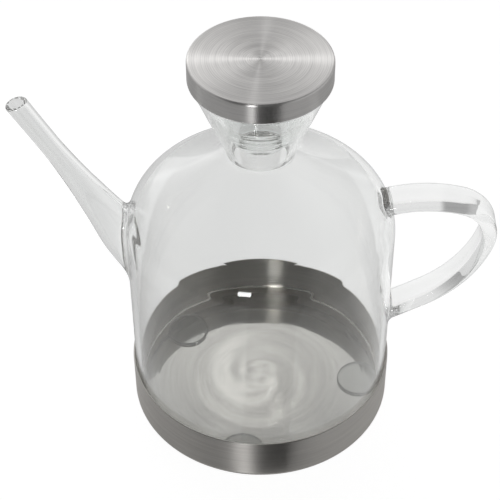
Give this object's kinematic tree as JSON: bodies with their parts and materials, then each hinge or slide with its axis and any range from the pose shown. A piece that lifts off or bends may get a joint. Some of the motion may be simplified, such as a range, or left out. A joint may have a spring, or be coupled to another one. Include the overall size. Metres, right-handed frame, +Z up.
{
  "type": "oil cruet",
  "caption": "Clear glass oil cruet with a slender pouring spout, strap handle, brushed steel base tray and a lift-off steel lid with a sealed clear stopper.",
  "frame": {"origin": "on the table, at the middle of the base tray's underside, on the vessel's axis", "axes": "+Z up along the vessel's axis, spout towards -X, handle towards +X"},
  "size_m": [0.1815, 0.105, 0.1668],
  "materials": {
    "clear_glass": "clear, fire polished",
    "tray_steel": "fine brushing round the wall",
    "cap_steel": "spun brushing on the top, fine brushing round the skirt",
    "clear_plastic": "clear and polished",
    "clear_silicone": "translucent, satin",
    "clear_gel": "clear and soft"
  },
  "bodies": {
    "cruet": {"glass_vessel": "clear_glass", "spout": "clear_glass", "handle": "clear_glass", "base_tray": "tray_steel", "gel_pad_right": "clear_gel", "gel_pad_back": "clear_gel", "gel_pad_front": "clear_gel"},
    "lid": {"lid_cap": "cap_steel", "lid_insert": "clear_plastic", "lid_seal": "clear_silicone"}
  },
  "joints": [
    {"name": "lid_lift", "type": "slide", "parent": "cruet", "child": "lid", "axis": [0, 0, 1], "range_m": [0, 0.06]}
  ]
}
